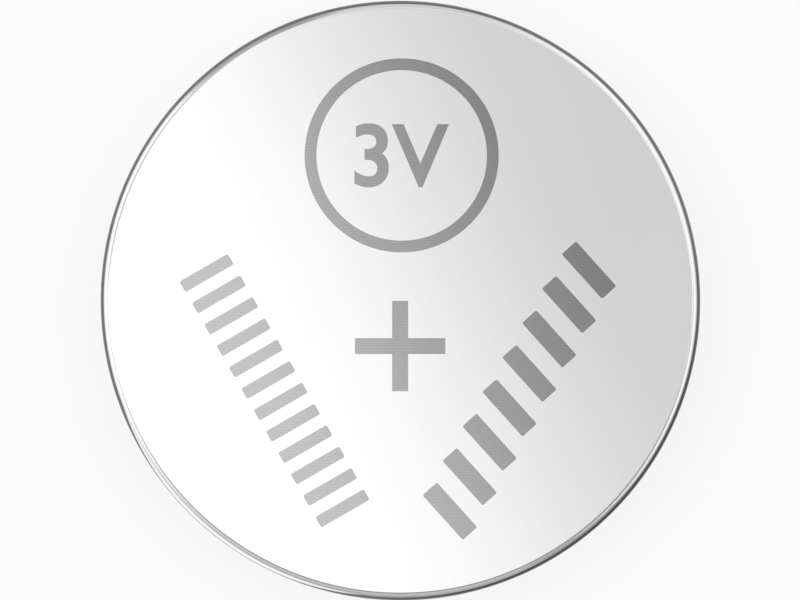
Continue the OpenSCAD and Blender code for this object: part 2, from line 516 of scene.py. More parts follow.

# %% [markdown]
# Painted light changes round the can's rim: a painted highlight on one side, a darker painted shade on
# another, and painted shade in the line where the face meets the corner and on the start of the
# corner. Each of these is a share that follows the heading of a point as seen from the axis. The dot
# product of that heading with a chosen side is 1 on the side itself and gets less both ways round. A
# short table says for each share which side it is on in degrees, the dot product at which it starts
# and at which it is full, its least and its greatest value, and how it rises. One loop makes the
# nodes.

# %% Shares by heading for painted highlight and painted shade
# Each share places painted highlight or painted shade on one side of the can's rim
PAINTED_LIGHT_SIDES = {
    "painted highlight side": (-128, 0.86, 0.98, 0, 1, "LINEAR"),
    "darker painted shade side": (-45, 0.5, 1, 0, 1, "SMOOTHSTEP"),
    "painted line shade side": (-82, -0.05, 0.7, 0.05, 0.72, "SMOOTHSTEP"),
    "lighter painted line shade side": (150, 0.85, 0.97, 0, 0.45, "SMOOTHSTEP"),
    "painted corner shade side": (120, 0.94, 0.995, 0, 0.7, "SMOOTHSTEP")}

flat_place = add_node(tree, "ShaderNodeVectorMath", {0: place, 1: (1, 1, 0)}, operation="MULTIPLY")
heading = add_node(tree, "ShaderNodeVectorMath", {0: flat_place}, operation="NORMALIZE")
painted_side_shares = {}
for name, (side, start, full, least, most, rise) in PAINTED_LIGHT_SIDES.items():
    facing = add_node(tree, "ShaderNodeVectorMath", {0: heading, 1: towards(side)},
                      operation="DOT_PRODUCT")
    painted_side_shares[name] = add_node(tree, "ShaderNodeMapRange",
                                 {"Value": facing, "From Min": start, "From Max": full,
                                  "To Min": least, "To Max": most}, interpolation_type=rise)
print("shares by heading:", ", ".join(painted_side_shares))

# %% [markdown]
# Height tells the parts of the can from each other. The outer half of the corner gets a painted dark
# outline round the face, painted shade that stands in for the corner's dark reflection. Below it the
# wall is upright and has the die's pale lines. On the painted highlight side all this starts a little
# lower, which leaves a painted bright rim above a thin, darker painted outline.

# %% Parts of the can by height, with the painted rim and outline
# Heights in millimetres, each pair from where a part starts to show to where it shows in full
# The second and third pairs place a painted dark outline and a painted bright rim; the drop lowers the
# wall's start on the painted highlight side
CAN_LEVELS_WITH_PAINTED_BANDS = {"wall": (3.17, 3.144), "painted edge shade": (2.86, 2.94), "painted bright rim": (3.168, 3.152)}
PAINTED_RIM_DROP = 0.11

height = add_node(tree, "ShaderNodeSeparateXYZ", {0: place}).outputs["Z"]
level = add_node(tree, "ShaderNodeMath",
                 {0: painted_side_shares["painted highlight side"], 1: PAINTED_RIM_DROP * MM, 2: height},
                 operation="MULTIPLY_ADD")
measured = {"wall": level, "painted edge shade": height, "painted bright rim": height}
full_shares = {"painted bright rim": painted_side_shares["painted highlight side"]}
shows = {}
for name, (start, full) in CAN_LEVELS_WITH_PAINTED_BANDS.items():
    shows[name] = add_node(tree, "ShaderNodeMapRange",
                           {"Value": measured[name], "From Min": start * MM,
                            "From Max": full * MM, "To Max": full_shares.get(name, 1)})
print("the wall's look starts", round(CELL_H - CAN_LEVELS_WITH_PAINTED_BANDS["wall"][0], 3), "mm below the face")

# %% [markdown]
# The punch leaves a hair-thin line where the face meets the corner, and painted shade lies in it,
# darker on some sides than others. On one side painted shade also lies over the start of the corner.
# Both are rings: a Compare node is 1 where the distance from the axis is within a half width of the
# ring's radius.

# %% Painted shade in the punch line and on the corner
# Radius and half width of each ring in millimetres
# Both rings are painted shade, one in the punch line and one on the start of the corner
PAINTED_SHADE_RINGS = {"line": (9.722, 0.025), "corner ring": (9.8, 0.062)}

radius = add_node(tree, "ShaderNodeVectorMath", {0: flat_place}, operation="LENGTH")
painted_line_share = add_node(tree, "ShaderNodeMath",
                      {0: painted_side_shares["painted line shade side"], 1: painted_side_shares["lighter painted line shade side"]},
                      operation="MAXIMUM")
ring_shares = {"line": painted_line_share, "corner ring": painted_side_shares["painted corner shade side"]}
painted_ring_shares = []
for name, (ring_radius, half_width) in PAINTED_SHADE_RINGS.items():
    in_ring = add_node(tree, "ShaderNodeMath",
                       {0: radius, 1: ring_radius * MM, 2: half_width * MM}, operation="COMPARE")
    painted_ring_shares.append(add_node(tree, "ShaderNodeMath", {0: in_ring, 1: ring_shares[name]},
                               operation="MULTIPLY"))
painted_ring_shade = add_node(tree, "ShaderNodeMath", {0: painted_ring_shares[0], 1: painted_ring_shares[1]}, operation="MAXIMUM")
# Width of the painted shade line in the punch line
print("wax line:", 2 * PAINTED_SHADE_RINGS["line"][1], "mm wide")

# %% [markdown]
# The coats come together here. The face wears the painted bright rim and the painted shade of the
# punch line and corner, the wall wears the painted dark outline at the top of its corner, and both of
# the wall's tones follow the die lines.

# %% Nickel surface
# fcfcfc is a painted highlight, #747474 painted shade, and the three dark greys a painted dark outline
tone = coats(tree, [
    ("face", grain, "#e4e4e4", "#e9e9e9"),
    ("with painted rim", shows["painted bright rim"], "face", "#fcfcfc"),
    ("with painted line shade", painted_ring_shade, "with painted rim", "#747474"),
    ("drawn", die_lines, "#b9b9ba", "#d2d2d3"),
    ("painted dark outline", die_lines, "#656566", "#7d7d7e"),
    ("darker painted outline", painted_side_shares["darker painted shade side"], "painted dark outline", "#48484a"),
    ("darkest painted outline", painted_side_shares["painted highlight side"], "darker painted outline", "#2a2a2c"),
    ("wall", shows["painted edge shade"], "drawn", "darkest painted outline"),
    ("can", shows["wall"], "with painted line shade", "wall")])
face_gloss = add_node(tree, "ShaderNodeMapRange", {"Value": haze, "To Min": 0.12, "To Max": 0.18})
wall_gloss = add_node(tree, "ShaderNodeMapRange",
                      {"Value": die_lines, "To Min": 0.2, "To Max": 0.34})
gloss = add_node(tree, "ShaderNodeMix",
                 {0: shows["wall"], BLEND_A: face_gloss, BLEND_B: wall_gloss})
relief = add_node(tree, "ShaderNodeMix", {0: shows["wall"], BLEND_A: grain, BLEND_B: die_lines})
surfaced(tree, {"Distance": 0.0004 * MM, "Height": relief},
         {"Base Color": tone, "Metallic": 1, "Roughness": gloss})

# %% [markdown]
# ## Finish of the marks: laser-etched nickel
#
# The marks are burnt into the plate by a laser that crosses them in close rows. The etched floor is
# greyer than the plate round it, and it still shows the slope of light across the face. Its tone also
# has painted shade that gets darker from the lower left to the upper right, along the same slope of
# light. The rows are about 0.05 mm apart and are drawn at 0.1 mm, which the picture can just show.

# %% Etched nickel
# A wave texture of scale 1 has 20 bands in 2 pi metres
WAVE_UNIT = 2 * math.pi / 20
# Painted shade darkens the marks between these two distances across the face, in millimetres
PAINTED_SHADE_SLOPE = (-5, 7)

etched, tree, place = new_finish("laser-etched nickel")
rows = add_node(tree, "ShaderNodeTexWave",
                {"Vector": place, "Scale": every(0.1) * WAVE_UNIT, "Distortion": 0.4},
                wave_type="BANDS", bands_direction="Y")
specks = add_node(tree, "ShaderNodeTexNoise", {"Vector": place, "Scale": every(0.12), "Detail": 2})
burnt = add_node(tree, "ShaderNodeMath", {0: rows.outputs["Fac"], 1: specks}, operation="MULTIPLY")
across = add_node(tree, "ShaderNodeVectorMath", {0: place, 1: towards(SLOPE_SIDE)},
                  operation="DOT_PRODUCT")
# Share of painted shade on the marks, greater towards the dim side of the slope of light
depth = add_node(tree, "ShaderNodeMapRange",
                 {"Value": across, "From Min": PAINTED_SHADE_SLOPE[0] * MM, "From Max": PAINTED_SHADE_SLOPE[1] * MM})
# The first two coats are a lit and a painted shade copy of the etched tone
tone = coats(tree, [
    ("light", burnt, "#b0b0b0", "#b9b9b9"),
    ("dark", burnt, "#828282", "#8c8c8c"),
    ("with painted shade slope", depth, "light", "dark")])
surfaced(tree, {"Distance": 0.0006 * MM, "Height": burnt},
         {"Base Color": tone, "Metallic": 1, "Roughness": 0.22})

# %% [markdown]
# ## Marks on the positive face
#
# The plus sign says which face this is. Above it is a plain ring with the cell's voltage, and low
# down on each side a slanted field of plain strokes. Each mark is 0.02 mm deep. It could be drawn
# by the material alone, but then it would be missing from the mesh, so a cutter is made for each
# mark and all of them are taken out of the can at once. The cutters wear the etched finish, which
# the cut passes on to the floor and walls of each mark.

# %% Plus sign cutter
ETCH_DEPTH = 0.02
ETCH_FLOOR = CELL_H - ETCH_DEPTH
CUTTER_TOP = CELL_H + 0.3
CUTTER_H = CUTTER_TOP - CELL_H + ETCH_DEPTH
PLUS_CENTRE = Vector((-0.01, -1.51))
PLUS_ARM = 1.5
PLUS_HALF_W = 0.265


def prism(outline):
    """Upright cutter on an outline of (x, y) points in millimetres."""
    count = len(outline)
    low = [(x * MM, y * MM, ETCH_FLOOR * MM) for x, y in outline]
    high = [(x * MM, y * MM, CUTTER_TOP * MM) for x, y in outline]
    sides = [(i, (i + 1) % count, (i + 1) % count + count, i + count) for i in range(count)]
    mesh = bpy.data.meshes.new("cutter")
    mesh.from_pydata(low + high, [], sides + [tuple(range(count)), tuple(range(count, 2 * count))])
    mesh.materials.append(etched)
    return outward(mesh)


arm, half = PLUS_ARM, PLUS_HALF_W
plus_outline = [
    PLUS_CENTRE + Vector(point) for point in (
        (half, half), (half, arm), (-half, arm), (-half, half), (-arm, half), (-arm, -half),
        (-half, -half), (-half, -arm), (half, -arm), (half, -half), (arm, -half), (arm, half))]
cutters = [prism(plus_outline)]
print("plus sign:", 2 * arm, "mm wide, strokes", 2 * half, "mm")

# %% [markdown]
# The ring comes off the same lathe as the can. The voltage is a text object that is made a mesh
# before it is moved to its place.

# %% Ring and voltage cutters
RING_CENTRE = Vector((0.04, 4.82))
RING_R = (2.83, 3.22)
VOLTAGE_SIZE = 2.9
VOLTAGE_BOLDER = 0.05


def moved(mesh, x, y, z=0.0, turn=0.0):
    """Turn a mesh about the upright axis and move it by millimetres."""
    mesh.transform(Matrix.Translation(Vector((x, y, z)) * MM) @ Matrix.Rotation(turn, 4, "Z"))
    return mesh


ring = turned([(RING_R[0], CUTTER_TOP), (RING_R[1], CUTTER_TOP),
               (RING_R[1], ETCH_FLOOR), (RING_R[0], ETCH_FLOOR)], etched, is_ring=True)
cutters.append(moved(ring, *RING_CENTRE))

writing = bpy.data.curves.new("voltage", "FONT")
writing.body = "3V"
writing.align_x = "CENTER"
writing.align_y = "CENTER"
writing.size = VOLTAGE_SIZE * MM
writing.offset = VOLTAGE_BOLDER * MM
writing.extrude = CUTTER_H / 2 * MM
helper = bpy.data.objects.new("voltage", writing)
bpy.context.scene.collection.objects.link(helper)
graph = bpy.context.evaluated_depsgraph_get()
voltage = bpy.data.meshes.new_from_object(helper.evaluated_get(graph), depsgraph=graph)
bpy.data.objects.remove(helper)
voltage.materials.clear()
voltage.materials.append(etched)
outward(voltage, merge_mm=POINT_MERGE)
xs = [vertex.co.x for vertex in voltage.vertices]
ys = [vertex.co.y for vertex in voltage.vertices]
middle = Vector((min(xs) + max(xs), min(ys) + max(ys))) / 2 / MM
cutters.append(moved(voltage, RING_CENTRE.x - middle.x, RING_CENTRE.y - middle.y,
                     (CUTTER_TOP + ETCH_FLOOR) / 2))
print("voltage:", round((max(xs) - min(xs)) / MM, 2), "x", round((max(ys) - min(ys)) / MM, 2), "mm")

# %% [markdown]
# The strokes repeat, so Geometry Nodes make them: a rounded outline is carried up a short line for
# one stroke, and a row of points gets one stroke each. The field on the left has light strokes and
# the one on the right has bold ones.

# %% Tree for a row of strokes
FILLET_STEPS = 4

strokes, given = new_geometry("row of strokes", {
    "Strokes": "Int", "Pitch": "Float", "Stroke width": "Float", "Stroke length": "Float",
    "Lean": "Float", "Corner": "Float", "Height": "Float", "Finish": "Material"})
outline = add_node(strokes, "GeometryNodeCurvePrimitiveQuadrilateral",
                   {"Width": given["Stroke width"], "Height": given["Stroke length"]})
rounded = add_node(strokes, "GeometryNodeFilletCurve",
                   {"Curve": outline, "Radius": given["Corner"], "Count": FILLET_STEPS},
                   mode="POLY")
lift = add_node(strokes, "ShaderNodeCombineXYZ", {"Z": given["Height"]})
upright = add_node(strokes, "GeometryNodeCurvePrimitiveLine", {"End": lift})
stroke = add_node(strokes, "GeometryNodeCurveToMesh",
                  {"Curve": upright, "Profile Curve": rounded, "Fill Caps": True})
step = add_node(strokes, "ShaderNodeCombineXYZ", {"X": given["Pitch"]})
row = add_node(strokes, "GeometryNodeMeshLine", {"Count": given["Strokes"], "Offset": step})
lean = add_node(strokes, "ShaderNodeCombineXYZ", {"Z": given["Lean"]})
each = add_node(strokes, "GeometryNodeInstanceOnPoints",
                {"Points": row, "Instance": stroke, "Rotation": lean})
handed_out(strokes, each, given["Finish"])

# %% Stroke cutters
STROKE_CORNER = 0.06


def stroke_field(centre, turn, count, pitch, width, length, lean):
    """Cutter for a row of strokes about a centre in millimetres, heading and lean in degrees."""
    values = {"Strokes": count, "Pitch": pitch * MM, "Stroke width": width * MM,
              "Stroke length": length * MM, "Lean": math.radians(-lean),
              "Corner": STROKE_CORNER * MM, "Height": CUTTER_H * MM, "Finish": etched}
    field = outward(grown(strokes, values), merge_mm=POINT_MERGE)
    moved(field, -pitch * (count - 1) / 2, 0, ETCH_FLOOR)
    return moved(field, *centre, turn=math.radians(turn))


cutters.append(stroke_field(centre=(-4.18, -2.99), turn=-60, count=12, pitch=0.82,
                            width=0.4, length=1.85, lean=0))
cutters.append(stroke_field(centre=(3.95, -2.99), turn=60, count=8, pitch=1.32,
                            width=0.64, length=2.0, lean=18))
print("cutters:", len(cutters))

# %% [markdown]
# ## Positive can
#
# The can is one drawn cup. Its face is flat to the start of the corner, where the punch leaves a
# hair-thin line all round, a groove 0.005 mm deep that takes the place of the corner's first 6
# degrees. The corner is round, the wall is straight, and the mouth is curled in over the gasket
# through 80 degrees. The cut edge of the mouth is softened by the curling die. The section is
# followed from the middle of the face, down the outside and back up the inside.

# %% Positive can
PUNCH_LINE_HALF_W = 0.014
PUNCH_LINE_DEPTH = 0.005
CORNER_START = 84
CAN_CORNER_OUT = 0.3
CAN_CORNER_IN = 0.05
CURL_OUT = 0.85
CURL_IN = 0.6
MOUTH_CUT = 0.05

corner = bend(CAN_CORNER, CAN_CORNER_OUT, CORNER_START, 0, lead_out=FLAT_LEAD)
line_end = corner[0].x
can_section = [
    (0, CELL_H),
    (line_end - 2 * PUNCH_LINE_HALF_W - FLAT_LEAD, CELL_H),
    (line_end - 2 * PUNCH_LINE_HALF_W, CELL_H),
    (line_end - PUNCH_LINE_HALF_W, CELL_H - PUNCH_LINE_DEPTH)]
can_section += corner
mouth_turn = math.degrees(MOUTH_CUT / CURL_OUT)
can_section += bend(CRIMP_CENTRE, CURL_OUT, 0, mouth_turn - CRIMP_ANGLE, lead_in=FLAT_LEAD)
can_section += softened(on_curl(CURL_OUT, mouth_turn - CRIMP_ANGLE), on_curl(CURL_OUT),
                        on_curl(CURL_IN), MOUTH_CUT)[1:]
can_section += bend(CRIMP_CENTRE, CURL_IN, -CRIMP_ANGLE, 0, lead_out=FLAT_LEAD)
can_section += bend(CAN_CORNER, CAN_CORNER_IN, 0, 90, lead_in=FLAT_LEAD, lead_out=FLAT_LEAD)
can_section.append((0, CAN_FLOOR_Z))
can_mesh = turned(can_section, nickel)
print("can section:", len(can_section), "points")

# %% [markdown]
# All the cutters are joined to one mesh and taken away in one cut. The manifold solver suits closed
# shells like these, and it copes with the many small faces of the writing.

# %% Cut the marks
joined = bmesh.new()
for cutter in cutters:
    joined.from_mesh(cutter)
cutter_mesh = bpy.data.meshes.new("cutters")
joined.to_mesh(cutter_mesh)
joined.free()
cutter_mesh.materials.append(etched)
cutter_object = bpy.data.objects.new("cutters", cutter_mesh)
blank = bpy.data.objects.new("blank", can_mesh)
for part in (cutter_object, blank):
    bpy.context.scene.collection.objects.link(part)
cut = blank.modifiers.new("marks", "BOOLEAN")
cut.object = cutter_object
cut.operation = "DIFFERENCE"
cut.solver = "MANIFOLD"
cut.material_mode = "TRANSFER"
graph = bpy.context.evaluated_depsgraph_get()
marked = bpy.data.meshes.new_from_object(blank.evaluated_get(graph), depsgraph=graph)
bpy.data.objects.remove(blank)
bpy.data.objects.remove(cutter_object)
placed("can", marked, "positive_can")
etched_faces = sum(1 for face in marked.polygons if marked.materials[face.material_index] == etched)
print("etched faces:", etched_faces, "materials:", [m.name for m in marked.materials])

# %% [markdown]
# ## Sealing gasket: moulded polypropylene
#
# The ring is moulded in black polypropylene. It stands round the cap's skirt inside the can, and the
# curl of the can's mouth presses it tight, which is the seal. From outside only its tongue shows, a
# dark line between the two metals. The skin is what the mould gives it: an even, waxy, fine matt.
# The mould's spark-eroded grain is about 0.05 mm, drawn at 0.08 mm.

# %% Gasket finish
gasket_finish, tree, place = new_finish("black polypropylene, moulded")
mould_grain = add_node(tree, "ShaderNodeTexNoise",
                       {"Vector": place, "Scale": every(0.08), "Detail": 2})
flow = add_node(tree, "ShaderNodeTexNoise", {"Vector": place, "Scale": every(3), "Detail": 2})
tone = add_node(tree, "ShaderNodeMix", {0: flow, MIX_A: "#262628", MIX_B: "#323235"},
                data_type="RGBA")
gloss = add_node(tree, "ShaderNodeMapRange",
                 {"Value": mould_grain, "To Min": 0.4, "To Max": 0.56})
surfaced(tree, {"Distance": 0.003 * MM, "Height": mould_grain},
         {"Base Color": tone, "Roughness": gloss, "IOR": 1.49})

# %% [markdown]
# Its section follows the can's bore and curl outside, ends in the round tongue, comes back along the
# cap's shoulder and skirt, and closes with the lip and the foot.

# %% Sealing gasket
GASKET_CURL = CURL_IN
SHOULDER_CURL = 0.3
TONGUE_END = (9.05, 0.63709)
LIP_END = (9.05, 2.15)
LIP_R = 8.9
FOOT_EDGE = 0.1
FOOT_BEVEL = 0.12

gasket_section = bend(CRIMP_CENTRE, GASKET_CURL, 0, -90, lead_in=FLAT_LEAD)
gasket_section += bend(TONGUE_END, GASKET_T / 2, -90, -270)
gasket_section += bend(CRIMP_CENTRE, SHOULDER_CURL, -90, 0, lead_out=FLAT_LEAD)
gasket_section += [(SKIRT_R, SKIRT_END_Z), (SKIRT_R - SHEET, SKIRT_END_Z)]
gasket_section += bend(LIP_END, GASKET_T / 2, 0, -180, lead_in=FLAT_LEAD, lead_out=FLAT_LEAD)
gasket_section += [
    (LIP_R, CAN_FLOOR_Z - FOOT_EDGE),
    (LIP_R + FOOT_EDGE, CAN_FLOOR_Z),
    (BORE_R - FOOT_BEVEL, CAN_FLOOR_Z),
    (BORE_R, CAN_FLOOR_Z - FOOT_BEVEL)]
placed("gasket", turned(gasket_section, gasket_finish, is_ring=True),
       "sealing_gasket")
print("gasket section:", len(gasket_section), "points")

# %% [markdown]
# ## Negative cap: drawn and blasted steel
#
# The cap is drawn like the can. Its contact face is blasted with fine beads so that a spring contact
# grips it, which makes it whiter and more matt than the riser and the shoulder round it. The beads'
# dimples are about 0.05 mm and are drawn at 0.09 mm. Because the blasting stops at the edge of the
# face, the finish changes there, by height.

# %% Cap finish
# Heights in millimetres between which the blasting fades in
BLAST_EDGE = (0.05, 0.01)

cap_finish, tree, place = new_finish("nickel-plated steel, blasted contact face")
dimples = add_node(tree, "ShaderNodeTexVoronoi", {"Vector": place, "Scale": every(0.09)},
                   feature="SMOOTH_F1")
grain = add_node(tree, "ShaderNodeTexNoise", {"Vector": place, "Scale": every(0.07), "Detail": 2})
die_lines = streaks(tree, place, size_mm=0.15, detail=3, stretch=UP_THE_WALL)
height = add_node(tree, "ShaderNodeSeparateXYZ", {0: place}).outputs["Z"]
blasted = add_node(tree, "ShaderNodeMapRange",
                   {"Value": height, "From Min": BLAST_EDGE[0] * MM,
                    "From Max": BLAST_EDGE[1] * MM})
tone = coats(tree, [
    ("blasted", grain, "#cbcbcb", "#d6d6d6"),
    ("drawn", die_lines, "#c6c6c7", "#d8d8d9"),
    ("cap", blasted, "drawn", "blasted")])
gloss = add_node(tree, "ShaderNodeMapRange", {"Value": blasted, "To Min": 0.24, "To Max": 0.42})
dimple_relief = add_node(tree, "ShaderNodeBump",
                         {"Strength": blasted, "Distance": 0.006 * MM, "Height": dimples})
surfaced(tree, {"Distance": 0.0004 * MM, "Height": die_lines, "Normal": dimple_relief},
         {"Base Color": tone, "Metallic": 1, "Roughness": gloss})

# %% [markdown]
# One function gives a side of the sheet at a depth below its outer skin, so both sides of the steel
# keep the same distance all the way: contact face, corner, leaning riser, root, shoulder and skirt.

# %% Negative cap
CONTACT_CORNER = (7.99781, 0.35)
CONTACT_CORNER_R = 0.35
ROOT_CENTRE = (8.57, 0.63709)
ROOT_R = 0.15
RISER_LEAN = 12


def cap_side(depth):
    """Points of the cap's sheet at a depth below its outer skin, from the axis to the skirt."""
    corner = bend(CONTACT_CORNER, CONTACT_CORNER_R - depth, -90, -RISER_LEAN,
                  lead_in=FLAT_LEAD, lead_out=FLAT_LEAD)
    root = bend(ROOT_CENTRE, ROOT_R + depth, 180 - RISER_LEAN, 90,
                lead_in=FLAT_LEAD, lead_out=FLAT_LEAD)
    shoulder = bend(CRIMP_CENTRE, SHOULDER_CURL - depth, -90, 0,
                    lead_in=FLAT_LEAD, lead_out=FLAT_LEAD)
    return [(0, depth)] + corner + root + shoulder + [(SKIRT_R - depth, SKIRT_END_Z)]


cap_section = cap_side(0) + cap_side(SHEET)[::-1]
placed("cap", turned(cap_section, cap_finish), "negative_cap")
print("cap section:", len(cap_section), "points")

# %% [markdown]
# ## The stack inside
#
# Four pieces are sealed in the cell and show when the model is taken apart. The lithium and the
# tablet are plain discs, so they keep their CAD meshes and only get the finish of the real thing.
# The grid and the separator are made again, because their edges are not those of a plain solid.
#
# The anode is a disc punched from lithium strip. Fresh lithium is silvery and soft, and even in a dry
# room it takes a faint grey bloom. The rolls leave long soft lines in it, about 0.2 mm apart.

# %% Lithium finish
lithium, tree, place = new_finish("lithium strip, rolled")
roll_lines = streaks(tree, place, size_mm=0.2, detail=3, stretch=(0.05, 1, 1))
bloom = add_node(tree, "ShaderNodeTexNoise",
                 {"Vector": place, "Scale": every(2.2), "Detail": 5, "Distortion": 0.6})
bloomed = add_node(tree, "ShaderNodeMapRange",
                   {"Value": bloom, "From Min": 0.45, "From Max": 0.7, "To Max": 0.35})
tone = coats(tree, [
    ("bright", roll_lines, "#c2c4c6", "#d8dadc"),
    ("bloomed", bloomed, "bright", "#96989b")])
gloss = add_node(tree, "ShaderNodeMapRange", {"Value": bloomed, "To Min": 0.3, "To Max": 0.55})
surfaced(tree, {"Distance": 0.003 * MM, "Height": roll_lines},
         {"Base Color": tone, "Metallic": 1, "Roughness": gloss})


def refinish(node, finish):
    """Give a CAD node's object its finish."""
    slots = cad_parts[node].data.materials
    slots.clear()
    slots.append(finish)
    print(node, "is now", finish.name)


refinish("lithium_anode", lithium)

# %% [markdown]
# The cathode is a tablet pressed from black manganese dioxide, graphite and a little binder. It is
# dull black with a few grains of graphite that glint. The grains are 0.05 to 0.1 mm.

# %% Cathode finish
cathode_mix, tree, place = new_finish("manganese dioxide and graphite, pressed")
grains = add_node(tree, "ShaderNodeTexVoronoi", {"Vector": place, "Scale": every(0.08)})
press_clouds = add_node(tree, "ShaderNodeTexNoise",
                        {"Vector": place, "Scale": every(1.6), "Detail": 4})
glint = add_node(tree, "ShaderNodeMapRange", {"Value": grains, "From Min": 0.12, "From Max": 0.05})
tone = coats(tree, [
    ("powder", press_clouds, "#1d1d1e", "#343436"),
    ("glinting", glint, "powder", "#6a6a6d")])
gloss = add_node(tree, "ShaderNodeMapRange", {"Value": glint, "To Min": 0.82, "To Max": 0.35})
surfaced(tree, {"Distance": 0.012 * MM, "Height": grains},
         {"Base Color": tone, "Metallic": glint, "Roughness": gloss})
refinish("cathode_pellet", cathode_mix)

# %% [markdown]
# The collector is a sheet of steel that is slit and pulled open to diamonds, then rolled flat. The
# slitting knife leaves the strands scratched along their length, and the heat of the welds that hold
# the grid to the can leaves a slight brown tint.

# %% Collector grid finish
grid_steel, tree, place = new_finish("expanded stainless steel")
scratches = streaks(tree, place, size_mm=0.04, detail=3, stretch=(0.08, 1, 1))
weld_heat = add_node(tree, "ShaderNodeTexNoise", {"Vector": place, "Scale": every(4), "Detail": 2})
heated = add_node(tree, "ShaderNodeMapRange",
                  {"Value": weld_heat, "From Min": 0.5, "From Max": 0.8, "To Max": 0.5})
tone = coats(tree, [
    ("steel", scratches, "#9b9b9d", "#b8b8ba"),
    ("heated", heated, "steel", "#a08d72")])
gloss = add_node(tree, "ShaderNodeMapRange", {"Value": scratches, "To Min": 0.22, "To Max": 0.42})
surfaced(tree, {"Distance": 0.002 * MM, "Height": scratches},
         {"Base Color": tone, "Metallic": 1, "Roughness": gloss})

# %% [markdown]
# The CAD grid is a flat disc with sharp diamond holes. Real strands have had their edges pressed
# round by the rolls, and the slitting knife leaves the ends of the diamonds round. The openings
# repeat on a staggered lattice, so Geometry Nodes make them: a rounded diamond is carried up
# through the sheet and widens at both faces, each lattice point inside the rim gets one, and all of
# them are cut out of a turned disc.

# %% Rounded diamond
pierced, given = new_geometry("diamond openings", {
    "Disc": "Geometry", "Columns": "Int", "Rows": "Int", "Pitch": "Vector",
    "Half opening": "Vector", "Reach": "Float", "Corner": "Float", "Sheet": "Float",
    "Edge": "Float", "Flare": "Float", "Finish": "Material"})
half_size = add_node(pierced, "ShaderNodeSeparateXYZ", {0: given["Half opening"]}).outputs
long_way = add_node(pierced, "ShaderNodeMath", {0: half_size["X"], 1: 2}, operation="MULTIPLY")
diamond = add_node(pierced, "GeometryNodeCurvePrimitiveQuadrilateral",
                   {"Width": long_way, "Bottom Height": half_size["Y"],
                    "Top Height": half_size["Y"]}, mode="KITE")
rounded = add_node(pierced, "GeometryNodeFilletCurve",
                   {"Curve": diamond, "Radius": given["Corner"], "Count": FILLET_STEPS,
                    "Limit Radius": True}, mode="POLY")
print("diamond nodes:", len(pierced.nodes))

# %% [markdown]
# The diamond is carried along a short line that stands through the sheet and starts and ends one
# edge width outside it. The line is cut into a few stations, and past the place where the strand's
# edge begins the stations get a greater radius, so the opening flares like a pressed edge.

# %% Way through the sheet
STATIONS = 8

half_sheet = add_node(pierced, "ShaderNodeMath", {0: given["Sheet"], 1: 0.5}, operation="MULTIPLY")
reach_out = add_node(pierced, "ShaderNodeMath", {0: half_sheet, 1: given["Edge"]}, operation="ADD")
top_end = add_node(pierced, "ShaderNodeCombineXYZ", {"Z": reach_out})
low_end = add_node(pierced, "ShaderNodeVectorMath", {0: top_end, "Scale": -1}, operation="SCALE")
way_through = add_node(pierced, "GeometryNodeCurvePrimitiveLine",
                       {"Start": low_end, "End": top_end})
stations = add_node(pierced, "GeometryNodeResampleCurve", {"Curve": way_through, "Count": STATIONS})
point = add_node(pierced, "GeometryNodeInputPosition")
height = add_node(pierced, "ShaderNodeSeparateXYZ", {0: point}).outputs["Z"]
from_middle = add_node(pierced, "ShaderNodeMath", {0: height}, operation="ABSOLUTE")
edge_start = add_node(pierced, "ShaderNodeMath", {0: half_sheet, 1: given["Edge"]},
                      operation="SUBTRACT")
widened = add_node(pierced, "ShaderNodeMapRange",
                   {"Value": from_middle, "From Min": edge_start, "From Max": half_sheet,
                    "To Min": 1, "To Max": given["Flare"]})
flared = add_node(pierced, "GeometryNodeSetCurveRadius", {"Curve": stations, "Radius": widened})
opening = add_node(pierced, "GeometryNodeCurveToMesh",
                   {"Curve": flared, "Profile Curve": rounded, "Fill Caps": True})
print("nodes with the opening:", len(pierced.nodes))

# %% [markdown]
# The lattice is two plain grids of points, the second one moved by half a pitch both ways.

# %% Lattice of openings
pitch = add_node(pierced, "ShaderNodeSeparateXYZ", {0: given["Pitch"]}).outputs
size = {}
for count, way in (("Columns", "X"), ("Rows", "Y")):
    steps = add_node(pierced, "ShaderNodeMath", {0: given[count], 1: 1}, operation="SUBTRACT")
    size[way] = add_node(pierced, "ShaderNodeMath", {0: steps, 1: pitch[way]},
                         operation="MULTIPLY")
even_rows = add_node(pierced, "GeometryNodeMeshGrid",
                     {"Size X": size["X"], "Size Y": size["Y"],
                      "Vertices X": given["Columns"], "Vertices Y": given["Rows"]})
half_pitch = add_node(pierced, "ShaderNodeVectorMath", {0: given["Pitch"], "Scale": 0.5},
                      operation="SCALE")
odd_rows = add_node(pierced, "GeometryNodeTransform",
                    {"Geometry": even_rows, "Translation": half_pitch})
lattice = add_node(pierced, "GeometryNodeJoinGeometry", {0: even_rows})
pierced.links.new(odd_rows.outputs[0], lattice.inputs[0])
print("nodes with the lattice:", len(pierced.nodes))

# %% [markdown]
# A point of the lattice gets an opening if the farthest corner of that opening stays inside the
# reach, which leaves a whole rim round the disc. All the openings are then cut out at once.

